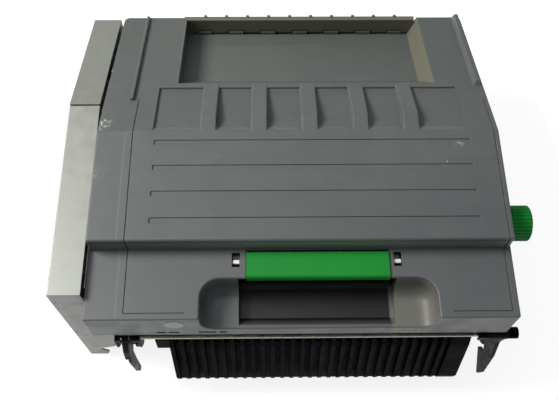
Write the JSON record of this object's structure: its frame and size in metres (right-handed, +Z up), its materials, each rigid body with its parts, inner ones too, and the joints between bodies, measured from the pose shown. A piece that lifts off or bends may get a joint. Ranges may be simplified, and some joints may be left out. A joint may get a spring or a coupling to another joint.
{
  "type": "banknote transport unit",
  "caption": "Upper note-transport unit of a cash machine: grey moulded cover with hand grip and green release bar, silver side cover, comb guide, latch hooks and a green hand knob.",
  "frame": {"origin": "centre of the base pan's underside, on the surface the unit stands on", "axes": "+X to the unit's right seen from its front, +Y to the rear, +Z up"},
  "size_m": [0.3698, 0.3307, 0.173],
  "materials": {
    "cover_grey": "fine-grained moulded plastic",
    "guide_brown": "moulded plastic, darker",
    "label_paper": "blank paper label",
    "silver_paint": "satin silver paint on sheet steel",
    "zinc_steel": "zinc-plated sheet",
    "guide_steel": "satin stainless sheet",
    "turned_steel": "turned steel",
    "latch_steel": "dark plated steel",
    "bush_bronze": "sintered bronze",
    "comb_black": "black moulded plastic",
    "grip_green": "green moulded plastic",
    "link_white": "white acetal",
    "gear_plastic": "natural acetal",
    "roller_rubber": "ground rubber",
    "sensor_glass": "polished",
    "motor_can": "black-coated can",
    "board_green": "solder mask",
    "chip_black": "moulded epoxy",
    "socket_white": "nylon"
  },
  "bodies": {
    "frame": {"base_pan": "zinc_steel", "board_components": "chip_black", "board_connectors": "socket_white", "case_screws": "turned_steel", "control_board": "board_green", "drive_belt": "roller_rubber", "drive_motor": "motor_can", "front_comb_guide": "comb_black", "front_cross_beam": "zinc_steel", "gate_solenoid": "motor_can", "guide_stays": "zinc_steel", "handle_bracket": "zinc_steel", "handle_return_spring": "turned_steel", "inspection_label": "label_paper", "knob_bracket": "zinc_steel", "left_frame_plate": "zinc_steel", "left_latch_bracket": "latch_steel", "left_side_cover_front": "silver_paint", "left_side_cover_rear": "silver_paint", "lower_guide_plate": "guide_steel", "lower_image_sensor": "comb_black", "mounting_posts": "turned_steel", "pinch_holders": "zinc_steel", "pivot_bushes": "bush_bronze", "rear_cross_beam": "zinc_steel", "rear_note_guide": "guide_brown", "right_frame_plate": "zinc_steel", "right_latch_bracket": "latch_steel", "sensor_glasses": "sensor_glass", "shaft_bearings": "turned_steel", "slide_studs": "turned_steel", "top_cover": "cover_grey", "upper_guide_plate": "guide_steel", "upper_image_sensor": "comb_black"},
    "release_handle": {"release_bar": "grip_green", "handle_links": "link_white", "handle_shaft": "turned_steel", "handle_lever": "latch_steel"},
    "release_slide": {"release_slide": "latch_steel"},
    "latch": {"latch_shaft": "turned_steel", "left_latch_hook": "latch_steel", "right_latch_hook": "latch_steel", "latch_lever": "latch_steel", "latch_end_bush": "comb_black"},
    "hand_knob": {"feed_knob": "grip_green", "knob_shaft": "turned_steel", "knob_gear": "gear_plastic"},
    "feed_roller_shaft": {"feed_shaft": "turned_steel", "feed_rollers": "roller_rubber", "feed_gear": "gear_plastic", "feed_pulley": "gear_plastic"},
    "rear_roller_shaft": {"rear_shaft": "turned_steel", "rear_rollers": "roller_rubber", "rear_pulley": "gear_plastic"},
    "front_pinch": {"front_pinch_rollers": "roller_rubber"},
    "rear_pinch": {"rear_pinch_rollers": "roller_rubber"},
    "motor_rotor": {"motor_shaft": "turned_steel"},
    "diverter_gate": {"gate_shaft": "turned_steel", "gate_fingers": "comb_black"},
    "solenoid_plunger": {"solenoid_plunger": "turned_steel"}
  },
  "joints": [
    {"name": "handle_lift", "type": "hinge", "parent": "frame", "child": "release_handle", "pos_m": [0, -0.104, 0.147], "axis": [-1, 0, 0], "range_deg": [0, 12], "stiffness_Nm_per_rad": 1.2, "springref_deg": -14.32},
    {"name": "slide_travel", "type": "slide", "parent": "frame", "child": "release_slide", "axis": [0, -1, 0], "range_m": [0, 0.0042]},
    {"name": "latch_swing", "type": "hinge", "parent": "frame", "child": "latch", "pos_m": [0, -0.157, 0.105], "axis": [-1, 0, 0], "range_deg": [0, 21]},
    {"name": "feed_spin", "type": "hinge", "parent": "frame", "child": "feed_roller_shaft", "pos_m": [0, -0.08, 0.099], "axis": [1, 0, 0], "continuous": true},
    {"name": "rear_spin", "type": "hinge", "parent": "frame", "child": "rear_roller_shaft", "pos_m": [0, 0.025, 0.099], "axis": [1, 0, 0], "continuous": true},
    {"name": "motor_spin", "type": "hinge", "parent": "frame", "child": "motor_rotor", "pos_m": [0, -0.0275, 0.052], "axis": [1, 0, 0], "continuous": true},
    {"name": "knob_spin", "type": "hinge", "parent": "frame", "child": "hand_knob", "pos_m": [0, -0.08, 0.145], "axis": [1, 0, 0], "continuous": true},
    {"name": "front_pinch_spin", "type": "hinge", "parent": "frame", "child": "front_pinch", "pos_m": [0, -0.08, 0.1221], "axis": [1, 0, 0], "continuous": true},
    {"name": "rear_pinch_spin", "type": "hinge", "parent": "frame", "child": "rear_pinch", "pos_m": [0, 0.025, 0.1221], "axis": [1, 0, 0], "continuous": true},
    {"name": "gate_swing", "type": "hinge", "parent": "frame", "child": "diverter_gate", "pos_m": [0, -0.134, 0.105], "axis": [1, 0, 0], "range_deg": [0, 16], "stiffness_Nm_per_rad": 0.05, "springref_deg": -17.19},
    {"name": "plunger_pull", "type": "slide", "parent": "frame", "child": "solenoid_plunger", "axis": [0, 1, 0], "range_m": [0, 0.0044]}
  ],
  "couplings": [
    {"joint": "slide_travel", "follows": "handle_lift", "m_per_rad": 0.019854},
    {"joint": "latch_swing", "follows": "handle_lift", "ratio": 1.6896},
    {"joint": "rear_spin", "follows": "feed_spin", "ratio": 1},
    {"joint": "motor_spin", "follows": "feed_spin", "ratio": 1},
    {"joint": "knob_spin", "follows": "feed_spin", "ratio": -1.5556},
    {"joint": "front_pinch_spin", "follows": "feed_spin", "ratio": -1.85},
    {"joint": "rear_pinch_spin", "follows": "feed_spin", "ratio": -1.85},
    {"joint": "gate_swing", "follows": "plunger_pull", "rad_per_m": 63.319}
  ]
}
